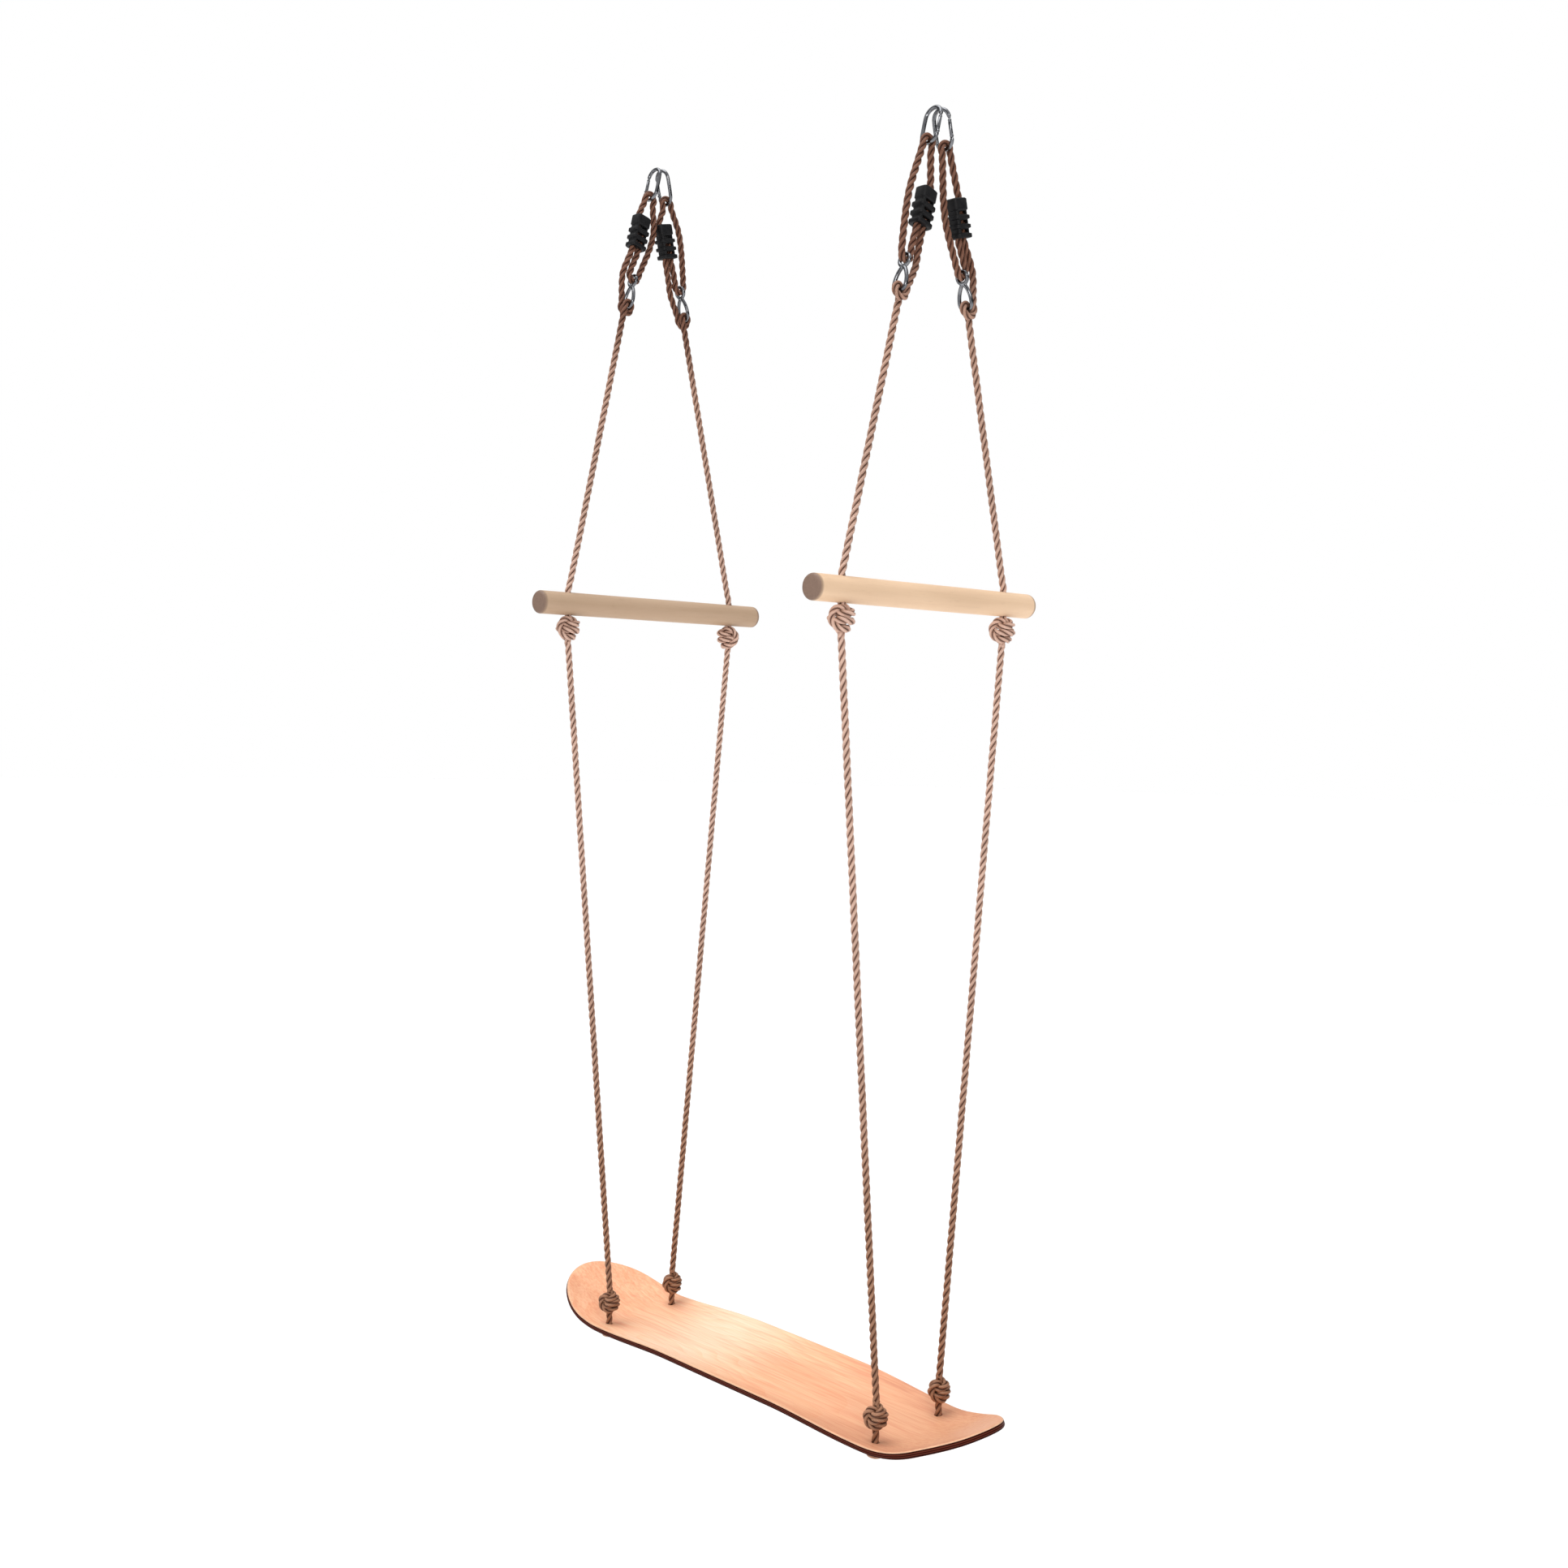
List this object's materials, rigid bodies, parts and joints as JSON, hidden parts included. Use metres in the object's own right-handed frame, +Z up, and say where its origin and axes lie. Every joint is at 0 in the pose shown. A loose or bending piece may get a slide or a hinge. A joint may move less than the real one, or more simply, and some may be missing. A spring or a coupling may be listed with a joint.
{
  "type": "skateboard swing",
  "caption": "Kicked wooden deck hung by twisted ropes through two wooden hand bars from snap hooks, with sliding rope adjusters.",
  "frame": {"origin": "midway between the two hanging points, where the carabiners bear on their hooks", "axes": "+Z up, +X towards the nose of the deck, +Y to the left of somebody who faces the nose"},
  "size_m": [0.7984, 0.408, 1.6998],
  "materials": {
    "maple": "satin",
    "beech": "satin",
    "rope": "satin",
    "steel": "polished",
    "black_plastic": "matte"
  },
  "bodies": {
    "hangers": {"tail_right_carabiner": "steel", "tail_right_gate_pin": "steel", "tail_left_carabiner": "steel", "tail_left_gate_pin": "steel", "nose_right_carabiner": "steel", "nose_right_gate_pin": "steel", "nose_left_carabiner": "steel", "nose_left_gate_pin": "steel"},
    "tail_right_gate_body": {"tail_right_gate": "steel"},
    "tail_left_gate_body": {"tail_left_gate": "steel"},
    "nose_right_gate_body": {"nose_right_gate": "steel"},
    "nose_left_gate_body": {"nose_left_gate": "steel"},
    "sling_tops": {"tail_right_sling_bend": "rope", "tail_left_sling_bend": "rope", "nose_right_sling_bend": "rope", "nose_left_sling_bend": "rope"},
    "tail_slings": {"tail_right_free_strand": "rope", "tail_right_load_strand": "rope", "tail_right_end_strand": "rope", "tail_left_free_strand": "rope", "tail_left_load_strand": "rope", "tail_left_end_strand": "rope"},
    "nose_slings": {"nose_right_free_strand": "rope", "nose_right_load_strand": "rope", "nose_right_end_strand": "rope", "nose_left_free_strand": "rope", "nose_left_load_strand": "rope", "nose_left_end_strand": "rope"},
    "tail_right_adjuster_body": {"tail_right_adjuster": "black_plastic"},
    "tail_left_adjuster_body": {"tail_left_adjuster": "black_plastic"},
    "nose_right_adjuster_body": {"nose_right_adjuster": "black_plastic"},
    "nose_left_adjuster_body": {"nose_left_adjuster": "black_plastic"},
    "tail_ropes": {"tail_bar": "beech", "tail_right_link": "steel", "tail_right_upper_rope": "rope", "tail_right_bar_knot": "rope", "tail_right_lower_rope": "rope", "tail_left_link": "steel", "tail_left_upper_rope": "rope", "tail_left_bar_knot": "rope", "tail_left_lower_rope": "rope"},
    "nose_ropes": {"nose_bar": "beech", "nose_right_link": "steel", "nose_right_upper_rope": "rope", "nose_right_bar_knot": "rope", "nose_right_lower_rope": "rope", "nose_left_link": "steel", "nose_left_upper_rope": "rope", "nose_left_bar_knot": "rope", "nose_left_lower_rope": "rope"},
    "deck_board": {"deck": "maple", "tail_right_deck_knots": "rope", "tail_left_deck_knots": "rope", "nose_right_deck_knots": "rope", "nose_left_deck_knots": "rope"}
  },
  "joints": [
    {"name": "swing_sideways", "type": "hinge", "parent": "hangers", "child": "sling_tops", "pos_m": [0, 0, -0.04314], "axis": [0.9972, 0, -0.0752], "range_deg": [-20, 20], "deforming": ["tail_right_sling_bend", "tail_left_sling_bend", "nose_right_sling_bend", "nose_left_sling_bend"]},
    {"name": "tail_swing_lengthwise", "type": "hinge", "parent": "sling_tops", "child": "tail_slings", "pos_m": [-0.264, 0, -0.02322], "axis": [0, 1, 0], "range_deg": [-20, 20], "deforming": ["tail_right_free_strand", "tail_right_load_strand", "tail_left_free_strand", "tail_left_load_strand"]},
    {"name": "nose_swing_lengthwise", "type": "hinge", "parent": "sling_tops", "child": "nose_slings", "pos_m": [0.264, 0, -0.06305], "axis": [0, 1, 0], "range_deg": [-20.6, 20.6], "deforming": ["nose_right_free_strand", "nose_right_load_strand", "nose_left_free_strand", "nose_left_load_strand"]},
    {"name": "tail_height", "type": "slide", "parent": "tail_slings", "child": "tail_ropes", "axis": [0, 0, 1], "range_m": [-0.01, 0.005], "deforming": ["tail_right_end_strand", "tail_left_end_strand"]},
    {"name": "nose_height", "type": "slide", "parent": "nose_slings", "child": "nose_ropes", "axis": [0, 0, 1], "range_m": [-0.01, 0.005], "deforming": ["nose_right_end_strand", "nose_left_end_strand"]},
    {"name": "deck_level", "type": "hinge", "parent": "tail_ropes", "child": "deck_board", "pos_m": [-0.264, 0, -1.60786], "axis": [0, 1, 0], "range_deg": [-20, 20]},
    {"name": "tail_right_adjust", "type": "slide", "parent": "tail_slings", "child": "tail_right_adjuster_body", "axis": [0, 0.2316, 0.9728], "range_m": [-0.029, 0.0145]},
    {"name": "tail_left_adjust", "type": "slide", "parent": "tail_slings", "child": "tail_left_adjuster_body", "axis": [0, -0.2316, 0.9728], "range_m": [-0.029, 0.0145]},
    {"name": "nose_right_adjust", "type": "slide", "parent": "nose_slings", "child": "nose_right_adjuster_body", "axis": [0, 0.2467, 0.9691], "range_m": [-0.029, 0.0145]},
    {"name": "nose_left_adjust", "type": "slide", "parent": "nose_slings", "child": "nose_left_adjuster_body", "axis": [0, -0.2467, 0.9691], "range_m": [-0.029, 0.0145]},
    {"name": "tail_right_gate_open", "type": "hinge", "parent": "hangers", "child": "tail_right_gate_body", "pos_m": [-0.276, -0.01264, -0.0096], "axis": [0, 0.9728, -0.2316], "range_deg": [0, 28], "stiffness_Nm_per_rad": 0.02, "springref_deg": -8.59},
    {"name": "tail_left_gate_open", "type": "hinge", "parent": "hangers", "child": "tail_left_gate_body", "pos_m": [-0.276, 0.01264, -0.0096], "axis": [0, 0.9728, 0.2316], "range_deg": [0, 28], "stiffness_Nm_per_rad": 0.02, "springref_deg": -8.59},
    {"name": "nose_right_gate_open", "type": "hinge", "parent": "hangers", "child": "nose_right_gate_body", "pos_m": [0.276, -0.01314, -0.04948], "axis": [0, -0.9691, 0.2467], "range_deg": [0, 28], "stiffness_Nm_per_rad": 0.02, "springref_deg": -8.59},
    {"name": "nose_left_gate_open", "type": "hinge", "parent": "hangers", "child": "nose_left_gate_body", "pos_m": [0.276, 0.01314, -0.04948], "axis": [0, -0.9691, -0.2467], "range_deg": [0, 28], "stiffness_Nm_per_rad": 0.02, "springref_deg": -8.59}
  ],
  "couplings": [
    {"joint": "nose_swing_lengthwise", "follows": "tail_swing_lengthwise", "ratio": 1.026},
    {"joint": "deck_level", "follows": "tail_swing_lengthwise", "ratio": -1},
    {"joint": "nose_height", "follows": "tail_height", "ratio": 1},
    {"joint": "tail_right_adjust", "follows": "tail_height", "ratio": 2.9},
    {"joint": "tail_left_adjust", "follows": "tail_height", "ratio": 2.9},
    {"joint": "nose_right_adjust", "follows": "tail_height", "ratio": 2.9},
    {"joint": "nose_left_adjust", "follows": "tail_height", "ratio": 2.9}
  ]
}
